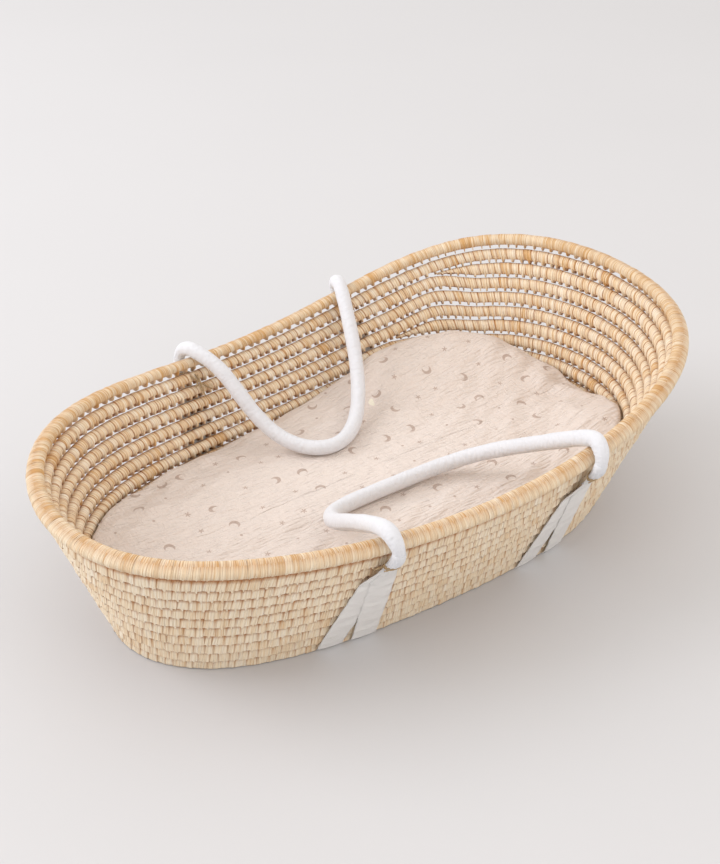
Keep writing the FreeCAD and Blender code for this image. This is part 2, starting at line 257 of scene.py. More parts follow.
def smooth_route(points, step):
    """Points at an even step along the smooth spline through a route's control points."""
    curve = bpy.data.curves.new("route", "CURVE")
    curve.dimensions = "3D"
    spline = curve.splines.new("NURBS")
    spline.points.add(len(points) - 1)
    for point, place in zip(spline.points, points):
        point.co = (*place, 1)
    spline.order_u = 4
    spline.use_endpoint_u = True
    spline.resolution_u = 16
    holder = bpy.data.objects.new("route", curve)
    bpy.context.scene.collection.objects.link(holder)
    mesh = bpy.data.meshes.new_from_object(holder)
    line = np.array([v.co for v in mesh.vertices])
    bpy.data.objects.remove(holder)
    bpy.data.meshes.remove(mesh)
    length = distance_along(line)
    at = np.linspace(0, length[-1], int(round(length[-1] / step)) + 1)
    return places_along(line, length, at), at


def sweep_frames(line, side):
    """Two unit vectors square to each point of a line, turning no more than the line does."""
    tangent = unit(np.gradient(line, axis=0))
    across = np.empty_like(line)
    now = np.array(side, float)
    for k, forward in enumerate(tangent):
        now = now - forward * (now @ forward)
        now /= np.linalg.norm(now)
        across[k] = now
    return across, np.cross(tangent, across)


def swept(name, line, at, radii, around, side, marks=None):
    """Tube whose radii differ at each point, as (along, around, 2) half sizes across and over."""
    across, over = sweep_frames(line, side)
    points = (line[:, None] + across[:, None] * (radii[..., :1] * np.cos(around)[None, :, None])
              + over[:, None] * (radii[..., 1:] * np.sin(around)[None, :, None]))
    turns = np.append(around, 2 * np.pi)
    uv = np.stack(np.broadcast_arrays(at[:, None], turns[None] * 0.01), -1)
    return grid_mesh(name, points[:, ::-1], uv, marks, caps=True)


# ---------------------------------------------------------------- materials
def add_node(tree, kind, inputs=None, **settings):
    """Adds one shader node with its settings, and its inputs as numbers or links."""
    node = tree.nodes.new("ShaderNode" + kind)
    for key, value in settings.items():
        setattr(node, key, value)
    for key, value in (inputs or {}).items():
        if isinstance(value, bpy.types.NodeSocket):
            tree.links.new(value, node.inputs[key])
        else:
            node.inputs[key].default_value = value
    return node


def new_material(name, **constants):
    """An empty material with one shader, whose constants sit on its own sockets."""
    material = bpy.data.materials.new(name)
    material.use_nodes = True
    tree = material.node_tree
    tree.nodes.clear()
    named = {key.replace("_", " "): value for key, value in constants.items()}
    shader = add_node(tree, "BsdfPrincipled", named)
    add_node(tree, "OutputMaterial", {"Surface": shader.outputs[0]})
    return material, tree, shader


def palm_leaf(name, colours, fibre_mm, strip_mm, outside):
    """Palm leaf, split into strips and wrapped damp: pale straw with long fibres along each
    strip, a soft waxy shine on the rounded tops, and brown painted shade in the folds and under the lips."""
    material, tree, shader = new_material(name, Roughness=0.62, IOR=1.45, Specular_IOR_Level=0.35)
    wrap = add_node(tree, "UVMap", uv_map="wrap").outputs[0]
    # fibres run with the strip, so they are fine across it and long down it
    stretched = add_node(tree, "VectorMath", {0: wrap, 1: (1000 / fibre_mm, 1000 / 28, 1)},
                         operation="MULTIPLY")
    fibre = add_node(tree, "TexNoise", {"Vector": stretched.outputs[0], "Scale": 1.0, "Detail": 3.0},
                     noise_dimensions="2D").outputs["Fac"]
    broad = add_node(tree, "VectorMath", {0: wrap, 1: (1000 / 4.5, 1000 / 45, 1)}, operation="MULTIPLY")
    patch = add_node(tree, "TexNoise", {"Vector": broad.outputs[0], "Scale": 1.0, "Detail": 2.0},
                     noise_dimensions="2D").outputs["Fac"]
    tone = add_node(tree, "Attribute", attribute_name="tone").outputs["Fac"]
    painted_shade = add_node(tree, "Attribute", attribute_name="painted_shade").outputs["Fac"]
    outer = add_node(tree, "Attribute", attribute_name="outer").outputs["Fac"]
    streak = add_node(tree, "MapRange", {0: fibre, 1: 0.3, 2: 0.7, 3: -0.32, 4: 0.32}).outputs[0]
    # a wrap is several narrow strips side by side, with a thin line of painted shade between them
    parts = add_node(tree, "SeparateXYZ", {0: wrap})
    lean = add_node(tree, "Math", {0: parts.outputs[1], 1: 1000 / 60}, operation="MULTIPLY").outputs[0]
    place = add_node(tree, "Math", {0: parts.outputs[0], 1: 1000 / strip_mm, 2: lean},
                     operation="MULTIPLY_ADD")
    strip = add_node(tree, "TexVoronoi", {"W": place.outputs[0], "Scale": 1.0}, voronoi_dimensions="1D",
                     feature="DISTANCE_TO_EDGE").outputs["Distance"]
    line = add_node(tree, "MapRange", {0: strip, 1: 0.02, 2: 0.17, 3: 1.0, 4: 0.0}).outputs[0]
    patches = add_node(tree, "MapRange", {0: patch, 1: 0.3, 2: 0.7, 3: -0.16, 4: 0.16}).outputs[0]
    mixed = add_node(tree, "Math", {0: tone, 1: streak}, operation="ADD").outputs[0]
    mixed = add_node(tree, "Math", {0: mixed, 1: patches}, operation="ADD").outputs[0]
    ramp = add_node(tree, "ValToRGB", {0: mixed})
    ramp.color_ramp.elements[0].color = colours.leaf_dark
    ramp.color_ramp.elements[1].color = colours.leaf_light
    ramp.color_ramp.elements.new(0.45).color = colours.leaf
    # the outside of the wall is drawn paler
    pale = add_node(tree, "Math", {0: outer, 1: outside}, operation="MULTIPLY").outputs[0]
    paler_outside = add_node(tree, "Mix", {"Factor": pale, 6: ramp.outputs[0], 7: colours.leaf_outside},
                         data_type="RGBA")
    faint = add_node(tree, "MapRange", {0: outer, 3: 0.30, 4: 0.08}).outputs[0]
    thin = add_node(tree, "Math", {0: line, 1: faint}, operation="MULTIPLY").outputs[0]
    # painted shade: the wraps are mixed towards the shade colour by the coils' shade marks and along the
    # lines between strips
    shade = add_node(tree, "Math", {0: painted_shade, 1: 0.88, 2: thin}, operation="MULTIPLY_ADD").outputs[0]
    final = add_node(tree, "Mix", {"Factor": shade, 6: paler_outside.outputs[2], 7: colours.painted_shade},
                     data_type="RGBA")
    tree.links.new(final.outputs[2], shader.inputs["Base Color"])
    # each strip stands about half a millimetre proud, and each fibre a tenth
    rounded = add_node(tree, "Math", {0: line, 1: -0.5, 2: fibre}, operation="MULTIPLY_ADD").outputs[0]
    bump = add_node(tree, "Bump", {"Height": rounded, "Strength": 0.8, "Distance": 0.0012})
    tree.links.new(bump.outputs[0], shader.inputs["Normal"])
    return material


def woven_cotton(name, base, thread_mm, rib, pucker_mm, **constants):
    """Plain-woven cotton, washed: matt and soft, with a fine basket of threads and small puckers.
    The threads are drawn at about twice their real width, because they are too fine to show."""
    material, tree, shader = new_material(name, Base_Color=base, Roughness=0.85, Sheen_Weight=0.15,
                                          **constants)
    wrap = add_node(tree, "UVMap", uv_map="wrap").outputs[0]
    across = add_node(tree, "VectorMath", {0: wrap, 1: (1000 / thread_mm, 1000 / thread_mm, 1)},
                      operation="MULTIPLY")
    warp = add_node(tree, "TexWave", {"Vector": across.outputs[0], "Scale": 0.31, "Distortion": 0.6},
                    bands_direction="X").outputs["Fac"]
    weft = add_node(tree, "TexWave", {"Vector": across.outputs[0], "Scale": 0.31, "Distortion": 0.6},
                    bands_direction="Y").outputs["Fac"]
    threads = add_node(tree, "Math", {0: warp, 1: weft}, operation="ADD").outputs[0]
    loose = add_node(tree, "VectorMath", {0: wrap, 1: (1000 / rib, 1000 / (rib * 2.2), 1)},
                     operation="MULTIPLY")
    pucker = add_node(tree, "TexNoise", {"Vector": loose.outputs[0], "Scale": 1.0, "Detail": 3.0},
                      noise_dimensions="2D").outputs["Fac"]
    low = add_node(tree, "Bump", {"Height": pucker, "Strength": 0.8, "Distance": pucker_mm / 1000})
    fine = add_node(tree, "Bump",
                    {"Height": threads, "Strength": 0.3, "Distance": 0.0002, "Normal": low.outputs[0]})
    tree.links.new(fine.outputs[0], shader.inputs["Normal"])
    return material


def printed_muslin(colours):
    """Two layers of cotton gauze, washed until they crinkle: long soft ridges every few
    millimetres with a faint square check, and a small print of moons and stars."""
    material, tree, shader = new_material("washed double gauze", Roughness=0.9, Sheen_Weight=0.2)
    wrap = add_node(tree, "UVMap", uv_map="wrap").outputs[0]
    # ridges about 4 mm apart, running the length of the mattress
    along = add_node(tree, "VectorMath", {0: wrap, 1: (1000 / 26, 1000 / 3.6, 1)}, operation="MULTIPLY")
    ridge = add_node(tree, "TexNoise", {"Vector": along.outputs[0], "Scale": 1.0, "Detail": 2.5},
                     noise_dimensions="2D").outputs["Fac"]
    across = add_node(tree, "VectorMath", {0: wrap, 1: (1000 / 3.8, 1000 / 18, 1)}, operation="MULTIPLY")
    check = add_node(tree, "TexNoise", {"Vector": across.outputs[0], "Scale": 1.0, "Detail": 2.0},
                     noise_dimensions="2D").outputs["Fac"]
    both = add_node(tree, "Math", {0: check, 1: 0.45, 2: ridge}, operation="MULTIPLY_ADD").outputs[0]
    bump = add_node(tree, "Bump", {"Height": both, "Strength": 0.9, "Distance": 0.0034})
    tree.links.new(bump.outputs[0], shader.inputs["Normal"])
    # one printed figure to each 41 mm cell, turned its own way
    cell = add_node(tree, "VectorMath", {0: wrap, 1: (1000 / 41, 1000 / 41, 1)},
                    operation="MULTIPLY").outputs[0]
    spot = add_node(tree, "TexVoronoi", {"Vector": cell, "Scale": 1.0, "Randomness": 0.5},
                    voronoi_dimensions="2D", feature="F1")
    local = add_node(tree, "VectorMath", {0: cell, 1: spot.outputs["Position"]},
                     operation="SUBTRACT").outputs[0]
    chance = add_node(tree, "SeparateColor", {0: spot.outputs["Color"]})
    angle = add_node(tree, "Math", {0: chance.outputs[0], 1: 2 * math.pi}, operation="MULTIPLY").outputs[0]
    turned = add_node(tree, "VectorRotate", {"Vector": local, "Angle": angle},
                      rotation_type="Z_AXIS").outputs[0]
    parts = add_node(tree, "SeparateXYZ", {0: turned})
    radius = add_node(tree, "VectorMath", {0: turned}, operation="LENGTH").outputs["Value"]
    aside = add_node(tree, "VectorMath", {0: turned, 1: (0.078, 0.022, 0)}, operation="SUBTRACT").outputs[0]
    bite = add_node(tree, "VectorMath", {0: aside}, operation="LENGTH").outputs["Value"]
    disc = add_node(tree, "MapRange", {0: radius, 1: 0.155, 2: 0.170, 3: 1.0, 4: 0.0}).outputs[0]
    hollow = add_node(tree, "MapRange", {0: bite, 1: 0.118, 2: 0.132, 3: 0.0, 4: 1.0}).outputs[0]
    moon = add_node(tree, "Math", {0: disc, 1: hollow}, operation="MULTIPLY").outputs[0]
    heading = add_node(tree, "Math", {0: parts.outputs[1], 1: parts.outputs[0]},
                       operation="ARCTAN2").outputs[0]
    five = add_node(tree, "Math", {0: heading, 1: 5.0}, operation="MULTIPLY").outputs[0]
    points = add_node(tree, "Math", {0: five}, operation="COSINE").outputs[0]
    reach = add_node(tree, "Math", {0: points, 1: 0.034, 2: 0.062}, operation="MULTIPLY_ADD").outputs[0]
    inside = add_node(tree, "Math", {0: reach, 1: radius}, operation="SUBTRACT").outputs[0]
    star = add_node(tree, "MapRange", {0: inside, 1: -0.006, 2: 0.01, 3: 0.0, 4: 1.0}).outputs[0]
    dot = add_node(tree, "MapRange", {0: radius, 1: 0.036, 2: 0.050, 3: 1.0, 4: 0.0}).outputs[0]
    is_star = add_node(tree, "Math", {0: chance.outputs[1], 1: 0.36}, operation="GREATER_THAN").outputs[0]
    is_dot = add_node(tree, "Math", {0: chance.outputs[1], 1: 0.74}, operation="GREATER_THAN").outputs[0]
    figure = add_node(tree, "Mix", {"Factor": is_star, 2: moon, 3: star}, data_type="FLOAT").outputs[0]
    figure = add_node(tree, "Mix", {"Factor": is_dot, 2: figure, 3: dot}, data_type="FLOAT").outputs[0]
    faded = add_node(tree, "Math", {0: figure, 1: 0.8}, operation="MULTIPLY").outputs[0]
    inked = add_node(tree, "Mix", {"Factor": faded, 6: colours.muslin, 7: colours.print}, data_type="RGBA")
    tree.links.new(inked.outputs[2], shader.inputs["Base Color"])
    return material


def twisted_flax(colours):
    """Flax twine, two strands spun together: hairy, matt and brown, with its twist showing."""
    material, tree, shader = new_material("spun flax twine", Roughness=0.85, Sheen_Weight=0.2)
    wrap = add_node(tree, "UVMap", uv_map="wrap").outputs[0]
    # fibres about 0.4 mm apart
    hairs = add_node(tree, "VectorMath", {0: wrap, 1: (1000 / 3, 1000 / 0.4, 1)}, operation="MULTIPLY")
    noise = add_node(tree, "TexNoise", {"Vector": hairs.outputs[0], "Scale": 1.0, "Detail": 2.0},
                     noise_dimensions="2D").outputs["Fac"]
    ramp = add_node(tree, "ValToRGB", {0: noise})
    ramp.color_ramp.elements[0].position, ramp.color_ramp.elements[0].color = 0.3, linear("#8C6C46")
    ramp.color_ramp.elements[1].position, ramp.color_ramp.elements[1].color = 0.7, colours.twine
    tree.links.new(ramp.outputs[0], shader.inputs["Base Color"])
    bump = add_node(tree, "Bump", {"Height": noise, "Strength": 0.5, "Distance": 0.0003})
    tree.links.new(bump.outputs[0], shader.inputs["Normal"])
    return material


# ---------------------------------------------------------------- operators


# Places across one wrap, closer at its edges and its middle, and round a coil's section from its top outwards
ACROSS = np.array([0, 0.05, 0.12, 0.25, 0.39, 0.43, 0.5, 0.57, 0.61, 0.75, 0.88, 0.95])
AROUND = np.pi * np.array([0, 0.1, 0.2, 0.3, 0.4, 0.5, 0.58, 0.65, 0.7, 0.75, 0.8, 0.87, 0.94,
                           1, 1.08, 1.17, 1.28, 1.39, 1.5, 1.61, 1.72, 1.83, 1.92])
AROUND_STEP = 0.0023    # from one place round the section to the next, on the map

# Outside, the wraps hang like shingles: a straight slope out to a lip, then a sharp return.
# For each place from the top of the section to its bottom: how high and how far out it is.
SHINGLE_RISE = np.array([1, 0.93, 0.80, 0.62, 0.40, 0.15, -0.10, -0.35, -0.55, -0.75, -0.92, -1.0, -1.02, -1])
SHINGLE_BULGE = np.array([0, 0.12, 0.27, 0.43, 0.57, 0.69, 0.79, 0.88, 0.94, 1.0, 1.0, 0.80, 0.42, 0])


def coil_section(shingled):
    """For each place round a coil's section: whether it is outside, its share of the way down that
    side, how high it is and how far out."""
    outer = (AROUND < np.pi)[None]
    q = np.where(outer, AROUND / np.pi, AROUND / np.pi - 1)
    rise = np.where(outer, np.cos(np.pi * q), -np.cos(np.pi * q))
    bulge = np.where(outer, 1, -1) * np.abs(np.sin(np.pi * q)) ** 0.88
    if shingled:
        places = AROUND[:len(SHINGLE_RISE)] / np.pi
        rise = np.where(outer, np.interp(q, places, SHINGLE_RISE), rise)
        bulge = np.where(outer, np.interp(q, places, SHINGLE_BULGE), bulge)
    return outer, q, rise, bulge


def wrapped_coil(name, seed, sizes, start, end, half_depth, slot, shingled, wrap):
    """One coil of the wall: a round bundle wrapped with leaf, stitched to the coil below it."""
    closed = end - start > 6.28
    rng = np.random.default_rng(seed)
    fine = np.linspace(start, end, 1800)
    length = distance_along(wall_place(fine, coil_rows(fine)[name][0]))
    count = int(round(length[-1] / wrap))
    edges = np.arange(count + 1.0)
    edges[1:-1] += rng.uniform(-0.33, 0.33, count - 1)
    edges *= length[-1] / count
    stitch = np.repeat(np.arange(count), len(ACROSS))
    part = np.tile(ACROSS, count)[:, None]
    run = edges[stitch] + (edges[stitch + 1] - edges[stitch]) * part[:, 0]
    if not closed:
        # an open coil stops at the first edge of its last wrap
        spare = len(ACROSS) - 1
        stitch, part, run = stitch[:-spare], part[:-spare], run[:-spare]

    outer, q, rise, bulge = coil_section(shingled)
    # chance differences of each wrap: its groove, thickness, gap, slant and length
    deep, thick, loose, slant, longer = rng.uniform(-1, 1, (count, 5))[stitch].T[:, :, None]
    lean = 0.0016 * np.cos(AROUND)[None] * (1 if shingled else 0.5)
    along = run[:, None] + lean + 0.0007 * slant * rise
    turn = np.interp(along % length[-1] if closed else along, length, fine)

    middle, share = coil_rows(turn)[name]
    _, up, out = wall_frame(turn, middle)
    half = ((rim_line(turn) - foot_line(turn)) * up).sum(-1) * share / 2
    weight = np.clip(share * coil_total(turn), 0.02, 1)
    in_wrap = 1 - np.abs(2 * part - 1)
    width = np.where(outer, 0.42 * (1 - q) ** 2 + 0.05, 0.13) if shingled else 0.12
    groove = np.exp(-(in_wrap / width) ** 2)
    leaves = rng.uniform(-1, 1, (len(run), 1)) * np.where(outer, 0.00016, 0.00010)
    overlap = (part - 0.5) * np.sign(slant) * outer
    dip = sizes.groove * (0.8 + 0.5 * deep)
    if shingled:
        dip = dip * np.where(outer, 0.1 + 3.2 * (1 - q) ** 2, 0.8)
        uneven = 0.00035 * thick + 0.0009 * overlap
    else:
        dip = dip * 0.2
        uneven = 0.00012 * thick + 0.0003 * overlap
    radius = half_depth - 0.0004 - dip * groove + uneven + leaves

    # the stitch that holds a coil to the one below stands in the gap between them
    holds = 1 if shingled else stitch[:, None] % 2
    leg = holds * (np.abs(part - 0.5) < 0.08) * smooth((0.42 - np.abs(AROUND[None] / np.pi - 1)) / 0.2)
    gap = slot * weight * (1 + 0.14 * loose)
    # outside, the lower edges of the wraps hang past the coil
    hang = np.where(outer & (q > 0.45), np.sin(np.pi * np.clip((q - 0.45) / 0.5, 0, 1)), 0)
    ragged = sizes.ragged * (0.75 + 0.25 * longer + 0.12 * in_wrap) * hang * shingled
    reach = np.where(rise > 0, half - gap / 2, half - gap / 2 + leg * (gap / 2 + 0.0016))
    if name == "wall_coil_01":
        # the lowest coil stands on the floor, so it has nothing to hang over
        reach = np.where(rise > 0, reach, np.minimum(reach, 0.0095))
        ragged = 0 * ragged
    points = (wall_place(turn, middle) + up * (reach * rise - ragged)[..., None]
              + out * (bulge * radius * np.sqrt(weight))[..., None])
    points[..., 2] = np.maximum(points[..., 2], 0.0016)

    map_run = np.append(run, length[-1])[:, None] + 3.1 * seed
    map_skin = AROUND_STEP * np.arange(len(AROUND) + 1)[None]
    uv = np.stack(np.broadcast_arrays(map_run, map_skin), -1)
    tone = np.clip((0.52 if shingled else 0.34) + 0.13 * deep + 0.10 * loose, 0, 1)
    tone = np.where(thick > 0.93, tone - 0.22, tone)
    # painted shade: darker in the grooves between wraps; outside, in a band at the top of each coil under the
    # lip of the coil above and on the underside of each lip; elsewhere, a little darker at the top and bottom
    # of the section, where the coils meet
    painted_shade = groove * (np.where(outer, 0.2 + 1.2 * (1 - q), 0.85) if shingled else 0.3)
    lip_shade = 0.9 * smooth((0.53 - q) / 0.24) + smooth((q - 0.82) / 0.05)
    painted_shade = np.clip(painted_shade + np.where(outer & shingled, lip_shade, 0.3 * np.abs(rise) ** 8), 0, 1)
    marks = {"tone": tone, "painted_shade": painted_shade, "outer": np.where(outer, smooth(bulge * 3), 0.0) + 0 * tone}
    return grid_mesh(name + "_wrapped", points, uv, marks, closed=(closed, True), caps=not closed)


def coil_total(turn):
    """How many coils the wall is high, to compare a short coil's share with a full one's."""
    rows = coil_rows(turn)
    return 1 / rows["wall_coil_01"][1]


class BASKET_OT_wall(bpy.types.Operator):
    """Wrap and stack the coils of the wall"""
    bl_idname = "basket.wall"
    bl_label = "Wall coils"
    bl_options = {"REGISTER", "UNDO"}

    def execute(self, context):
        sizes, colours = context.scene.basket_sizes, context.scene.basket_colours
        leaf = palm_leaf("wrapped palm leaf", colours, 1.1, 3.6, 0.4)
        for number in range(ROWS):
            name = f"wall_coil_{number + 1:02d}"
            slot = float(sizes.low_slot + (sizes.slot - sizes.low_slot) * smooth((number - 1) / 4))
            start = number * 1.7
            coil = wrapped_coil(name, number + 1, sizes, start, start + 2 * np.pi, COIL_DEPTH, slot, True,
                                sizes.stitch)
            finish_piece(coil, leaf, "basket", [name])
        for order, (name, (_, start)) in enumerate(HEAD_COILS.items()):
            end = math.radians(start - 1.2)
            coil = wrapped_coil(name, 20 + order, sizes, -end, end, HEAD_COIL_DEPTH, sizes.slot * 0.8, True,
                                sizes.stitch)
            finish_piece(coil, leaf, "basket", [name])
        return {"FINISHED"}


class BASKET_OT_rim(bpy.types.Operator):
    """Wrap the rim roll"""
    bl_idname = "basket.rim"
    bl_label = "Rim roll"
    bl_options = {"REGISTER", "UNDO"}

    def execute(self, context):
        sizes, colours = context.scene.basket_sizes, context.scene.basket_colours
        leaf = palm_leaf("tightly wrapped palm leaf", colours, 0.7, 2.4, 0.35)
        rim = wrapped_coil("rim_roll", 40, sizes, 0, 2 * np.pi, RIM_DEPTH, sizes.slot, False, sizes.rim_wrap)
        finish_piece(rim, leaf, "basket", ["rim_roll"])
        return {"FINISHED"}


def base_round(number, stitch):
    """One round of the base, this many coils in from the wall."""
    inset = 0.0172 * number
    fine = np.linspace(0, 2 * np.pi, 721)
    u = np.cos(fine)
    swell = 1 + (0.098 * u + 0.255 * u**2) * (1 - number / 12)
    line = np.stack([-FOOT_BACK + (FOOT_LENGTH - inset) * u,
                     (FOOT_WIDTH - inset) * np.sin(fine) * swell, 0.0095 + 0 * u], -1)
    length = distance_along(line)
    count = int(length[-1] / stitch)
    at = np.linspace(0, length[-1], count * 4 + 1)[:-1]
    middle = places_along(line, length, at)
    ahead = unit(np.roll(middle, -1, 0) - np.roll(middle, 1, 0))
    side = np.cross(ahead, UP)
    edge = (np.arange(len(at)) % 4 == 0)[:, None]
    around = np.linspace(0, 2 * np.pi, 11)[:-1][None]
    points = (middle[:, None] + side[:, None] * (COIL_DEPTH * np.cos(around))[..., None]
              + UP * (np.sin(around) * (0.0076 - 0.0009 * edge))[..., None])
    map_run = np.append(at, length[-1])[:, None] + number
    uv = np.stack(np.broadcast_arrays(map_run, np.linspace(0, 0.05, 11)[None]), -1)
    tone = np.repeat(np.random.default_rng(60 + number).uniform(0.35, 0.7, count), 4)[:, None]
    # painted shade in the grooves between the stitches of the base
    marks = {"tone": tone, "painted_shade": 0.7 * edge, "outer": 0.4}
    return grid_mesh(f"base_round_{number}", points[:, ::-1], uv, marks, closed=(True, True))


class BASKET_OT_base(bpy.types.Operator):
    """Coil the base under the mattress"""
    bl_idname = "basket.base"
    bl_label = "Base coils"
    bl_options = {"REGISTER", "UNDO"}

    def execute(self, context):
        sizes, colours = context.scene.basket_sizes, context.scene.basket_colours
        leaf = palm_leaf("wrapped palm leaf under the base", colours, 0.9, 4.0, 0.5)
        base = joined([base_round(number, sizes.stitch) for number in range(1, 10)], "base_coils")
        finish_piece(base, leaf, "basket", ["base_mat"])
        return {"FINISHED"}


# Height of the made-up mattress where it meets the wall, by degrees round from the head
EDGE_HEIGHTS = [(-180, 100), (-135, 97), (-90, 88), (-50, 96), (-38, 110), (-31, 121), (-25, 120), (-17, 110),
                (-9, 96),
                (-2, 85), (3, 88), (10, 95), (18, 104), (25, 113), (31, 122), (40, 130), (52, 131), (62, 125),
                (72, 113), (88, 84), (110, 78), (135, 90), (160, 99), (180, 100)]
# Soft folds in the sheet: start, end, height and width, in millimetres
FOLDS = [((290, 60), (335, -60), 7, 16), ((250, 130), (330, 60), 4, 20), ((300, -40), (240, -120), 3, 16),
         ((-330, 40), (-240, 90), 2, 18), ((-300, -60), (-200, -95), 2.2, 20),
         ((150, 120), (230, 60), 2.0, 22),
         ((-60, 120), (60, 95), 1.4, 20)]


def inside_outline(turn, height, inset):
    """Line inside the wall at this height, clear of its coils."""
    rise = (height - FOOT_HEIGHT) / (rim_line(turn)[..., 2] - FOOT_HEIGHT)
    place, (_, _, out) = wall_place(turn, rise), wall_frame(turn, rise)
    flat = unit(out * [1, 1, 0])
    place = place - flat * (0.0098 + inset)
    place[..., 2] = height
    return place


def sheet_lift(x, y):
    """How far the crinkles and soft folds lift the cloth at each place."""
    rng = np.random.default_rng(7)
    lift = 0 * x
    for _ in range(22):
        heading = rng.normal(0, 0.45)
        size = rng.uniform(0.022, 0.10)
        wave = (x * math.sin(heading) + y * math.cos(heading)) / size * 2 * np.pi
        ahead = x * math.cos(heading) - y * math.sin(heading)
        bend = np.sin(ahead / rng.uniform(0.1, 0.3) + rng.uniform(0, 6.3))
        lift += 0.00042 * np.sin(wave + 1.7 * bend + rng.uniform(0, 6.3))
    calm = np.exp(-((np.abs(x) / 0.14) ** 4 + (np.abs(y) / 0.10) ** 4))
    lift *= 1 - 0.6 * calm
    for start, end, tall, wide in FOLDS:
        (x0, y0), (x1, y1) = np.array([start, end]) / 1000
        along = ((x - x0) * (x1 - x0) + (y - y0) * (y1 - y0)) / ((x1 - x0) ** 2 + (y1 - y0) ** 2)
        bow = 0.012 * np.sin(np.pi * np.clip(along, 0, 1))
        aside = ((x - x0) * (y1 - y0) - (y - y0) * (x1 - x0)) / math.hypot(x1 - x0, y1 - y0) + bow
        ends = smooth(along / 0.3) * smooth((1 - along) / 0.3)
        lift += tall / 1000 * np.exp(-(aside / (wide / 1000)) ** 2) * ends
    return lift


# Waves of the cloth where it meets the wall: how many go round, and how high each is
EDGE_WAVES = ((7, 0.0010), (13, 0.0011), (19, 0.0008), (31, 0.0007), (47, 0.0004))
SHOULDER = 0.010        # radius of the mattress where its top turns down
TOP_RINGS = 74


def mattress_surface(crown, inset, sink, tuck, folded):
    """Domed oval top, rounded shoulder, side and underside of the mattress or of its sheet."""
    turn = np.linspace(-np.pi, np.pi, 361)[:-1]
    table = np.array(EDGE_HEIGHTS, float)
    edge = np.interp(np.degrees(turn), table[:, 0], table[:, 1]) / 1000 - sink
    edge = np.convolve(np.concatenate([edge[-7:], edge, edge[:7]]), np.ones(15) / 15, "valid")
    if folded:
        edge += sum(tall * np.sin(number * turn + 1.9 * number) for number, tall in EDGE_WAVES)
    rim = inside_outline(turn, edge, inset)
    middle = np.stack([rim[:, 0] * 0.55, 0 * turn, 0 * turn], -1)
    flat = unit((rim - middle) * [1, 1, 0])
    rings = []
    for r in np.concatenate([np.linspace(0, 0.9, 64), np.linspace(0.91, 1, TOP_RINGS - 64)]):
        place = middle + (rim - flat * SHOULDER - middle) * r
        place[:, 2] = crown - sink + (edge - crown + sink) * smooth((r - 0.35) / 0.65)
        rings.append(place)
    for bend in np.linspace(0, np.pi / 2, 7)[1:]:
        height = edge - SHOULDER * (1 - math.cos(bend))
        rings.append(inside_outline(turn, height, inset + SHOULDER * (1 - math.sin(bend))))
    low = 0.0192 if tuck else 0.0195
    for down in np.linspace(0, 1, 8)[1:]:
        height = (edge - SHOULDER) * (1 - down) + (low + 0.004) * down
        rings.append(inside_outline(turn, height, inset))
    for under in np.linspace(0, 1, 6 if tuck else 16)[1 if tuck else 0:]:
        place = inside_outline(turn, low + 0 * turn, inset + 0.004)
        centre = np.stack([place[:, 0] * 0.55, 0 * turn, low + 0 * turn], -1)
        if tuck:
            place = place - unit((place - centre) * [1, 1, 0]) * 0.055 * under
        else:
            place = place + (centre - place) * under
        rings.append(place)
    points = np.array(rings)
    if folded:
        number = np.arange(len(points))
        fade = np.where(number < TOP_RINGS, smooth((TOP_RINGS + 4 - number) / 14), 0)
        points[..., 2] += sheet_lift(points[..., 0], points[..., 1]) * fade[:, None]
    return points


def sawn_foam():
    """Polyether foam, cut on a band saw: pale, matt and open-celled."""
    material, tree, shader = new_material("sawn polyether foam", Roughness=0.95)
    wrap = add_node(tree, "UVMap", uv_map="wrap").outputs[0]
    # cells about 1.2 mm across
    cells = add_node(tree, "TexVoronoi", {"Vector": wrap, "Scale": 1000 / 1.2}, voronoi_dimensions="2D")
    # painted shade: each cell is drawn darker at its hollow middle
    tint = add_node(tree, "Mix", {"Factor": cells.outputs["Distance"], 6: linear("#E6DFCB"),
                                  7: linear("#F4F0E4")}, data_type="RGBA")
    tree.links.new(tint.outputs[2], shader.inputs["Base Color"])
    bump = add_node(tree, "Bump", {"Height": cells.outputs["Distance"], "Strength": 0.4, "Distance": 0.0005})
    tree.links.new(bump.outputs[0], shader.inputs["Normal"])
    return material


class BASKET_OT_mattress(bpy.types.Operator):
    """Shape the foam mattress"""
    bl_idname = "basket.mattress"
    bl_label = "Mattress"
    bl_options = {"REGISTER", "UNDO"}

    def execute(self, context):
        points = mattress_surface(context.scene.basket_sizes.crown, 0.0050, 0.0046, tuck=False, folded=False)
        pad = closed_cushion("mattress_foam", points)
        finish_piece(pad, sawn_foam(), "basket", ["mattress_pad"])
        return {"FINISHED"}


def closed_cushion(name, points):
    """Mesh of rings from the middle of the top to the underside, welded where they meet."""
    uv = np.concatenate([points, points[:, :1]], 1)[..., :2]
    made = grid_mesh(name, points, uv, closed=(False, True))
    edit = bmesh.new()
    edit.from_mesh(made.data)
    bmesh.ops.remove_doubles(edit, verts=edit.verts, dist=0.00005)
    bmesh.ops.recalc_face_normals(edit, faces=edit.faces)
    edit.to_mesh(made.data)
    edit.free()
    return made


class BASKET_OT_sheet(bpy.types.Operator):
    """Fit the muslin sheet over the mattress"""
    bl_idname = "basket.sheet"
    bl_label = "Fitted sheet"
    bl_options = {"REGISTER", "UNDO"}

    def execute(self, context):
        sizes, colours = context.scene.basket_sizes, context.scene.basket_colours
        points = mattress_surface(sizes.crown, 0.0016, 0.0, tuck=True, folded=True)
        sheet = closed_cushion("muslin_sheet", points)
        flip_up(sheet)
        skin = sheet.modifiers.new("thickness", "SOLIDIFY")
        skin.thickness, skin.offset = sizes.sheet_thickness, -1
        finish_piece(sheet, printed_muslin(colours), "basket", ["fitted_sheet"])
        return {"FINISHED"}


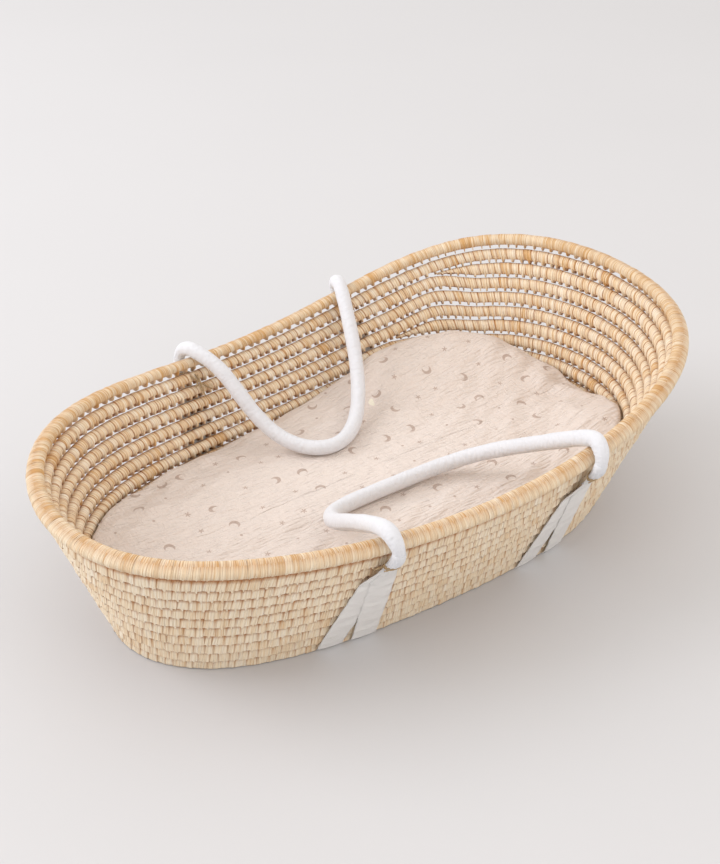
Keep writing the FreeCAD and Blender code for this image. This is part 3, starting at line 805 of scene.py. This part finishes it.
def flip_up(made):
    """Turns an open cloth's faces over if its middle faces down."""
    centre = min(made.data.polygons, key=lambda p: abs(p.center.x) + abs(p.center.y) - p.center.z)
    if centre.normal.z < 0:
        made.data.flip_normals()


# ---------------------------------------------------------------- handles, straps and bindings
ANCHORS = {"near": {"left": -0.131, "right": 0.129}, "far": {"left": -0.137, "right": 0.123}}
# How each handle end goes over the rim, in millimetres out from and above the middle of the roll
OVER_RIM = {"near": [(20.5, -1), (18.6, 10.5), (8, 19.8), (-5, 21.8)],
            "far": [(21.3, -2), (18, 11), (5, 19.9), (-9, 20.4)]}
# Route of each handle across the inside, in millimetres
NEAR_DRAPE = [(-134, -180, 185), (-126, -136, 153), (-121, -100, 127), (-108, -71, 113),
              (-80, -58, 106), (-36, -56, 104), (18, -57, 104), (71, -61, 106),
              (103, -86, 123), (121, -128, 150), (127, -176, 181)]
FAR_DRAPE = [(-107, 184, 189), (-97, 154, 157), (-84, 123, 125), (-68, 93, 108),
             (-48, 66, 104), (-24, 53, 104), (4, 58, 105), (35, 83, 108),
             (62, 117, 121), (82, 152, 147), (95, 184, 177)]
# Side of the basket, route, and how far each end leans along the rim at each point over it
HANDLES = {"near": (-1, NEAR_DRAPE, {"left": -1, "right": 3}),
           "far": (1, FAR_DRAPE, {"left": 4, "right": -3})}


HINGE_OUT, HINGE_DOWN = 0.0172, 0.0125          # from the middle of the roll
BINDING_OUT, BINDING_DOWN = 0.0168, 0.0137
HANDLE_STEP, HANDLE_START = 0.0022, 0.0068      # step along the handle, and its start above the hinge


def rim_at(x, side):
    """Middle of the rim roll at this x."""
    return rim_line(np.array(turn_at(x, 1.0, side)))


def hinge_point(x, side):
    """Where a handle end is bound to the wall, and turns."""
    rim = rim_at(x, side)
    return np.array([x, rim[1] + side * HINGE_OUT, rim[2] - HINGE_DOWN])


def over_rim(x, side, lean):
    """Points that lead a handle end from its hinge over the rim roll."""
    points = [hinge_point(x, side)]
    for number, (out, above) in enumerate(OVER_RIM["far" if side > 0 else "near"]):
        at = x + lean * number / 1000
        rim = rim_at(at, side)
        points.append(np.array([at, rim[1] + side * out / 1000, rim[2] + above / 1000]))
    return points


def handle_route(side_name):
    """Points of one handle from its left hinge to its right one."""
    side, drape, lean = HANDLES[side_name]
    ends = ANCHORS[side_name]
    return (over_rim(ends["left"], side, lean["left"]) + [np.array(place) / 1000 for place in drape]
            + over_rim(ends["right"], side, lean["right"])[::-1])


def handle_creases(line, at, around, side, rng):
    """How far the cloth of a handle sinks in, as a share of its radius."""
    across, over = sweep_frames(line, (0, side, 0))
    curl = np.gradient(unit(np.gradient(line, axis=0)), at, axis=0)
    inner = (across * curl).sum(-1)[:, None] * np.cos(around) + (over * curl).sum(-1)[:,
                                                                                      None] * np.sin(around)
    # creases about 6 mm apart across the inner side of the tight bends
    phase = np.cumsum(rng.uniform(0.6, 1.4, len(at))) * 2 * np.pi * HANDLE_STEP / 0.0062
    creases = -0.07 * smooth((inner - 4) / 22) * (0.5 + 0.5 * np.sin(phase))[:, None] ** 2
    # and slack ones here and there
    for _ in range(44):
        place, turn, width = rng.uniform(0, at[-1]), rng.uniform(0, 6.3), rng.uniform(0.0012, 0.0022)
        tilt = rng.uniform(-0.006, 0.006)
        off = nearest(around - turn)
        sunk = np.exp(-((at[:, None] - place - tilt * off) / width) ** 2) * np.exp(-(off / 0.9) ** 2)
        creases -= 0.012 * sunk
    return creases


def sewn_seam(around, at_angle):
    """A seam along the tube: a raised fold beside a stitched line, as a share of the radius."""
    off = nearest(around - at_angle)
    return (0.035 * np.exp(-((off - 0.13) / 0.10) ** 2) - 0.045 * np.exp(-((off + 0.06) / 0.055) ** 2))[None]


class BASKET_OT_handles(bpy.types.Operator):
    """Sew and pad the two handles"""
    bl_idname = "basket.handles"
    bl_label = "Padded handles"
    bl_options = {"REGISTER", "UNDO"}

    def execute(self, context):
        sizes, colours = context.scene.basket_sizes, context.scene.basket_colours
        cotton = woven_cotton("washed cotton over wadding", colours.cotton, 1.1, 4.2, 1.8)
        around = np.linspace(0, 2 * np.pi, 37)[:-1]
        for side_name, (side, _, _) in HANDLES.items():
            line, at = smooth_route(handle_route(side_name), HANDLE_STEP)
            keep = (at > HANDLE_START) & (at < at[-1] - HANDLE_START)
            line, at = line[keep], at[keep] - at[keep][0]
            end = np.minimum(at, at[-1] - at)
            rng = np.random.default_rng(11 + (side > 0))
            swell = np.interp(at, np.linspace(0, at[-1], 40), rng.uniform(-0.00025, 0.0003, 40))
            taper = 0.66 + 0.34 * smooth((end + 0.002) / 0.036)
            radius = (sizes.handle_radius - 0.0002 + swell) * taper
            # the cloth is pleated where it is gathered into the binding
            pleats = 0.06 * np.exp(-(end / 0.026) ** 2)[:, None] * np.cos(11 * around)[None]
            seam = sewn_seam(around, 1.2 if side > 0 else 4.4)
            grown = radius[:, None] * (1 + pleats + handle_creases(line, at, around, side, rng) + seam)
            radii = np.stack([grown, grown], -1)
            handle = swept(f"{side_name}_padded_handle", line, at, radii, around, (0, side, 0))
            finish_piece(handle, cotton, f"{side_name}_handle",
                         [f"{side_name}_handle_cover", f"{side_name}_handle_core"])
        return {"FINISHED"}


def below_rim(x, side, drop):
    """Turn and height of the place this far below the middle of the rim."""
    height = 1 - drop / (rim_at(x, side)[2] - FOOT_HEIGHT)
    return turn_at(x, height, side), height


def binding_place(x, side):
    """Middle of a binding, with unit vectors along the coil, up the wall and out of it."""
    turn, height = (np.array(value) for value in below_rim(x, side, BINDING_DOWN))
    along, up, out = wall_frame(turn, height)
    return wall_place(turn, height) + out * BINDING_OUT, along, up, out


# Half width and half depth of a gathered handle end, by its share of the way to the strap
GATHER_AT = [0, 0.35, 0.62, 0.75, 1]
GATHER_WIDE = [0.0074, 0.0078, 0.0080, 0.0084, 0.0118]
GATHER_DEEP = [0.0072, 0.0064, 0.0042, 0.0032, 0.0010]


class BASKET_OT_gathers(bpy.types.Operator):
    """Gather each handle end into its binding"""
    bl_idname = "basket.gathers"
    bl_label = "Gathered handle ends"
    bl_options = {"REGISTER", "UNDO"}

    def execute(self, context):
        cotton = woven_cotton("gathered washed cotton", context.scene.basket_colours.cotton, 1.1, 5.0, 2.5)
        around = np.linspace(0, 2 * np.pi, 41)[:-1]
        for side_name, (side, _, _) in HANDLES.items():
            line, _ = smooth_route(handle_route(side_name), 0.001)
            for end_name, x in ANCHORS[side_name].items():
                inner = line if end_name == "left" else line[::-1]
                place, along, up, out = binding_place(x, side)
                route = [inner[14], inner[12], inner[6], place + up * 0.005 + out * 0.002, place,
                         place - up * 0.006, place - up * 0.014 - out * 0.002]
                path, run = smooth_route(route, 0.0008)
                s = run / run[-1]
                wave = np.cos(11 * around + 1.3 * (end_name == "left"))[None]
                pleats = 1 + 0.09 * wave * smooth(s * 4)[:, None]
                radii = np.stack([np.interp(s, GATHER_AT, GATHER_WIDE)[:, None] * pleats,
                                  np.interp(s, GATHER_AT, GATHER_DEEP)[:, None] * pleats], -1)
                gather = swept(f"{side_name}_{end_name}_gather", path, run, radii, around, along)
                finish_piece(gather, cotton, None)
                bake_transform(gather)
        return {"FINISHED"}


# Binding that each strap hangs from, x where it reaches the floor, and its layer
STRAPS = {"left_outer": ("left", -0.166, 0), "left_inner": ("left", -0.125, 1),
          "right_inner": ("right", 0.112, 0), "right_outer": ("right", 0.157, 1)}


STRAP_LAYER = 0.0012                                    # one strap's cloth over the other's
STRAP_TOP_DOWN = 0.0107                                 # top of a strap below the middle of the rim roll
STRAP_TOP_OUT, STRAP_TOP_WIDTH = 0.0164, 0.016          # gathered in the binding
STRAP_UNDER = 0.0113                                    # from the middle of the lowest coil to the floor side


def cotton_tape(colours):
    """Flat woven cotton tape, washed and soft, thin enough for daylight to come through it."""
    material = woven_cotton("flat woven cotton tape", colours.strap, 1.3, 11.0, 4.5)
    tree = material.node_tree
    shader, output = tree.nodes["Principled BSDF"], tree.nodes["Material Output"]
    through = add_node(tree, "BsdfTranslucent", {"Color": colours.strap})
    both = add_node(tree, "MixShader", {0: 0.18, 1: shader.outputs[0], 2: through.outputs[0]})
    tree.links.new(both.outputs[0], output.inputs["Surface"])
    return material


def strap_side(anchor, foot_x, layer, side, full_width):
    """Rows down one strap from its binding to the floor: middle, width direction, width and outward."""
    lie = COIL_DEPTH + 0.0008 + STRAP_LAYER * layer
    neck = STRAP_TOP_OUT + STRAP_LAYER * (layer - 0.5)
    _, top = below_rim(anchor, side, STRAP_TOP_DOWN)
    rows = []
    for down in np.linspace(0, 1, 110):
        height = np.array(top * (1 - down))
        turn = np.array(turn_at(anchor + (foot_x - anchor) * down, float(height), side))
        along, _, out = wall_frame(turn, height)
        flare = float(smooth((down - 0.05) / 0.24))
        width = STRAP_TOP_WIDTH + (full_width - STRAP_TOP_WIDTH) * flare
        ripple = 0.00025 * flare * math.sin(down * 41 + 2 * layer) * (1 - smooth((down - 0.9) / 0.1))
        rows.append((wall_place(turn, height) + out * (neck + (lie - neck) * flare + ripple),
                     along * -side, width, out))
    # it turns round the lowest coil and goes under the base
    last, along, _, out = rows[-1]
    for turned in np.linspace(0, 1, 9)[1:]:
        facing = unit(out * (1 - turned) - UP * turned)
        away = lie + (STRAP_UNDER - lie) * turned
        rows.append((last - out * lie + facing * away, along, full_width, facing))
    return rows


def strap_rows(end_name, foot_x, layer, width):
    """The same rows for a whole strap, from the near binding under the base to the far one."""
    near = strap_side(ANCHORS["near"][end_name], foot_x, layer, -1, width)
    far = strap_side(ANCHORS["far"][end_name], foot_x, layer, 1, width)
    under = [(near[-1][0] * (1 - t) + far[-1][0] * t, near[-1][1] * (1 - t) + far[-1][1] * t, width, -UP)
             for t in np.linspace(0, 1, 90)[1:-1]]
    middle, side_way, wide, facing = (np.array(column) for column in zip(*(near + under + far[::-1])))
    return middle, unit(side_way), wide, facing


class BASKET_OT_straps(bpy.types.Operator):
    """Lay the flat straps down the wall and under the base"""
    bl_idname = "basket.straps"
    bl_label = "Flat straps"
    bl_options = {"REGISTER", "UNDO"}

    def execute(self, context):
        sizes, colours = context.scene.basket_sizes, context.scene.basket_colours
        cotton = cotton_tape(colours)
        across = np.linspace(-0.5, 0.5, 13)
        for number, (name, (end_name, foot_x, layer)) in enumerate(STRAPS.items()):
            middle, side_way, width, facing = strap_rows(end_name, foot_x, layer, sizes.strap_width)
            run = distance_along(middle)
            rng = np.random.default_rng(80 + number)
            frayed = np.interp(run, np.linspace(0, run[-1], 90), rng.uniform(-0.0011, 0.0009, 90))
            points = middle[:, None] + side_way[:, None] * (across[None] * (width + frayed)[:, None])[...,
                                                                                                      None]
            # the cloth cups a little across, and its ends are pleated under the binding
            from_end = np.minimum(run, run[-1] - run)
            pleat = 0.0008 * np.exp(-(from_end / 0.03) ** 2)[:, None] * np.cos(across * 22)[None]
            on_wall = (np.abs(facing[:, 2]) < 0.9)[:, None]
            cup = 0.0007 * (0.25 - across[None] ** 2) * 4 * on_wall
            points += facing[:, None] * (pleat + cup)[..., None]
            points[..., 2] = np.maximum(points[..., 2], 0.0006)
            uv = np.stack(np.broadcast_arrays(run[:, None], across[None] * 0.03), -1)
            strap = grid_mesh(f"{name}_flat_strap", points, uv, closed=(False, False))
            skin = strap.modifiers.new("thickness", "SOLIDIFY")
            skin.thickness, skin.offset = sizes.strap_thickness, 0
            finish_piece(strap, cotton, "basket", [f"{name}_strap"])
        return {"FINISHED"}


# Loose twine ends: x, height up the wall and distance out of it, in millimetres
TAILS = {
    "near_left": [[(-133, 0.905, 15), (-142, 0.89, 12.5), (-147, 0.85, 11)]],
    "near_right": [[(131, 0.905, 15), (138, 0.89, 12.5), (142, 0.86, 11)]],
    "far_left": [
        [(-133, 0.935, 8), (-131, 0.92, -11.5), (-129, 0.86, -12.5), (-130, 0.80, -12), (-127, 0.74, -13)],
        [(-139, 0.935, 8), (-141, 0.92, -11.5), (-133, 0.87, -13.5), (-124, 0.82, -12), (-113, 0.77, -12)],
        [(-128, 0.94, 6), (-125, 0.92, -12), (-133, 0.85, -11.8), (-138, 0.83, -12)]],
    "far_right": [
        [(118, 0.935, 8), (116, 0.92, -12), (121, 0.86, -12.5), (128, 0.80, -12)],
        [(128, 0.935, 8), (131, 0.92, -12), (124, 0.86, -13.5), (115, 0.81, -12), (112, 0.77, -12)],
        [(123, 0.94, 8), (123, 0.92, -12), (129, 0.86, -12)]],
}
WINDING_WIDE, WINDING_DEEP = 0.0098, 0.0056     # half sizes of the loops of twine round a handle end


def twine_strand(name, route, radius, loose):
    """Two-ply twine along a route, thinner at its loose end."""
    line, at = smooth_route(route, 0.0009)
    around = np.linspace(0, 2 * np.pi, 11)[:-1]
    ply = 1 + 0.2 * np.cos(2 * (around[None] - at[:, None] * 2 * np.pi / 0.008))
    thin = 1 - 0.5 * smooth((at - at[-1] + 0.006) / 0.006) * loose
    radii = (radius * ply * thin[:, None])[..., None] * np.ones(2)
    return swept(name, line, at, radii, around, (0.3, 0.2, 0.9))


def winding_route(place, along, up, out):
    """Three turns of twine round a handle end, rising a little."""
    route = []
    for k in range(34):
        turn = 2 * np.pi * k / 10
        rise = -0.0022 + 0.0048 * k / 33 + 0.0009 * math.sin(turn * 0.5)
        route.append(place + along * WINDING_WIDE * math.cos(turn) + out * WINDING_DEEP * math.sin(turn)
                     + up * rise)
    return route


def crossing_route(place, along, up, out):
    """The last turn, aslant over the others."""
    slant = ((-1, -0.004), (-0.4, -0.002), (0.3, 0.002), (1.0, 0.0045))
    return [place + along * a * WINDING_WIDE + out * (0.0066 - 0.004 * abs(a)) + up * b for a, b in slant]


class BASKET_OT_bindings(bpy.types.Operator):
    """Tie the strap ends with twine"""
    bl_idname = "basket.bindings"
    bl_label = "Twine bindings"
    bl_options = {"REGISTER", "UNDO"}

    def execute(self, context):
        sizes, colours = context.scene.basket_sizes, context.scene.basket_colours
        flax = twisted_flax(colours)
        for side_name, (side, _, _) in HANDLES.items():
            for end_name, x in ANCHORS[side_name].items():
                name = f"{side_name}_{end_name}"
                frame_there = binding_place(x, side)
                strands = [twine_strand(name + "_winding", winding_route(*frame_there), sizes.twine, False),
                           twine_strand(name + "_crossing", crossing_route(*frame_there), sizes.twine, False)]
                for number, tail in enumerate(TAILS[name]):
                    route = [wall_point(px / 1000, height, side, away / 1000) for px, height, away in tail]
                    strands.append(twine_strand(f"{name}_tail_{number}", route, sizes.twine * 1.5, True))
                binding = joined(strands, f"{name}_twine")
                finish_piece(binding, flax, "basket", [f"{name}_binding"])
        return {"FINISHED"}


def painted_board(colours):
    """Matt painted board: no shine, and a barely mottled tone."""
    material, tree, shader = new_material("matt painted board", Roughness=0.9, Specular_IOR_Level=0.2)
    place = add_node(tree, "TexCoord").outputs["Object"]
    # mottling about 600 mm across, and a tooth of about 2 mm
    cloud = add_node(tree, "TexNoise", {"Vector": place, "Scale": 1 / 0.6, "Detail": 2.0}).outputs["Fac"]
    darker = tuple(c * 0.97 for c in colours.floor[:3]) + (1.0,)
    tint = add_node(tree, "Mix", {"Factor": cloud, 6: colours.floor, 7: darker}, data_type="RGBA")
    tree.links.new(tint.outputs[2], shader.inputs["Base Color"])
    tooth = add_node(tree, "TexNoise", {"Vector": place, "Scale": 1 / 0.002}).outputs["Fac"]
    bump = add_node(tree, "Bump", {"Height": tooth, "Strength": 0.05, "Distance": 0.0002})
    tree.links.new(bump.outputs[0], shader.inputs["Normal"])
    return material


def add_lamp(name, place, aim, size, power, tint):
    """A square area light, turned to what it lights."""
    data = bpy.data.lights.new(name, "AREA")
    data.size, data.energy, data.color = size, power, linear(tint)[:3]
    lamp = bpy.data.objects.new(name, data)
    lamp.location = place
    lamp.rotation_euler = (Vector(aim) - Vector(place)).to_track_quat("-Z", "Y").to_euler()
    bpy.context.scene.collection.objects.link(lamp)


CAMERA_AIM, CAMERA_AWAY = (0.0286, 0.0659, 0.0994), 1.5606
CAMERA_ANGLES = (-33.649, 34.540, -0.974)       # round from the near side, up, and roll, in degrees


def add_camera():
    """The camera, looking down over the foot of the basket."""
    data = bpy.data.cameras.new("camera")
    data.lens, data.sensor_width = 49.63, 36
    camera = bpy.data.objects.new("camera", data)
    azimuth, elevation, roll = (math.radians(v) for v in CAMERA_ANGLES)
    back = Vector((math.sin(azimuth) * math.cos(elevation), -math.cos(azimuth) * math.cos(elevation),
                   math.sin(elevation)))
    right = (-back).cross(Vector((0, 0, 1))).normalized()
    over = right.cross(-back)
    right, over = (right * math.cos(roll) + over * math.sin(roll),
                   over * math.cos(roll) - right * math.sin(roll))
    turned = Matrix((right, over, back)).transposed().to_4x4()
    camera.matrix_world = Matrix.Translation(Vector(CAMERA_AIM) + back * CAMERA_AWAY) @ turned
    bpy.context.scene.collection.objects.link(camera)
    bpy.context.scene.camera = camera


class BASKET_OT_stage(bpy.types.Operator):
    """Set the floor, the lights and the camera"""
    bl_idname = "basket.stage"
    bl_label = "Stage"
    bl_options = {"REGISTER", "UNDO"}

    def execute(self, context):
        scene = context.scene
        corners = np.array([[[-14, -14, 0], [-14, 14, 0]], [[14, -14, 0], [14, 14, 0]]], float)
        floor = grid_mesh("floor", corners, corners[..., :2], closed=(False, False))
        flip_up(floor)
        floor.data.materials.append(painted_board(scene.basket_colours))

        scene.world = bpy.data.worlds.new("studio")
        scene.world.use_nodes = True
        background = scene.world.node_tree.nodes["Background"]
        background.inputs[0].default_value = linear("#FFFBF7")
        background.inputs[1].default_value = 1.02
        add_lamp("window", (-3.5, 2.8, 3.0), (0, 0, 0), 3.4, 144, "#F9FAFF")
        add_lamp("fill", (1.4, -2.9, 3.2), (0, 0, 0.1), 3.0, 25, "#FFF4EA")
        add_camera()
        scene.view_settings.view_transform = "Standard"
        return {"FINISHED"}


OPERATORS = [BASKET_OT_stage, BASKET_OT_wall, BASKET_OT_rim, BASKET_OT_base, BASKET_OT_mattress,
             BASKET_OT_sheet,
             BASKET_OT_handles, BASKET_OT_gathers, BASKET_OT_straps, BASKET_OT_bindings]


class BASKET_PT_panel(bpy.types.Panel):
    """Lists the pieces of the basket and their settings"""
    bl_idname = "BASKET_PT_panel"
    bl_label = "Moses Basket"
    bl_space_type = "VIEW_3D"
    bl_region_type = "UI"
    bl_category = "Moses Basket"

    def draw(self, context):
        for group in (context.scene.basket_sizes, context.scene.basket_colours):
            box = self.layout.box()
            for key in group.__annotations__:
                box.prop(group, key)
        for operator in OPERATORS:
            self.layout.operator(operator.bl_idname)


def register():
    for cls in [BasketSizes, FinishColours, *OPERATORS, BASKET_PT_panel]:
        bpy.utils.register_class(cls)
    bpy.types.Scene.basket_sizes = bpy.props.PointerProperty(type=BasketSizes)
    bpy.types.Scene.basket_colours = bpy.props.PointerProperty(type=FinishColours)


def unregister():
    del bpy.types.Scene.basket_colours
    del bpy.types.Scene.basket_sizes
    for cls in reversed([BasketSizes, FinishColours, *OPERATORS, BASKET_PT_panel]):
        bpy.utils.unregister_class(cls)


def main():
    register()
    bpy.ops.basket.stage()
    bpy.ops.basket.wall()
    bpy.ops.basket.rim()
    bpy.ops.basket.base()
    bpy.ops.basket.mattress()
    bpy.ops.basket.sheet()
    bpy.ops.basket.handles()
    bpy.ops.basket.gathers()
    bpy.ops.basket.straps()
    bpy.ops.basket.bindings()


if __name__ == "__main__":
    main()
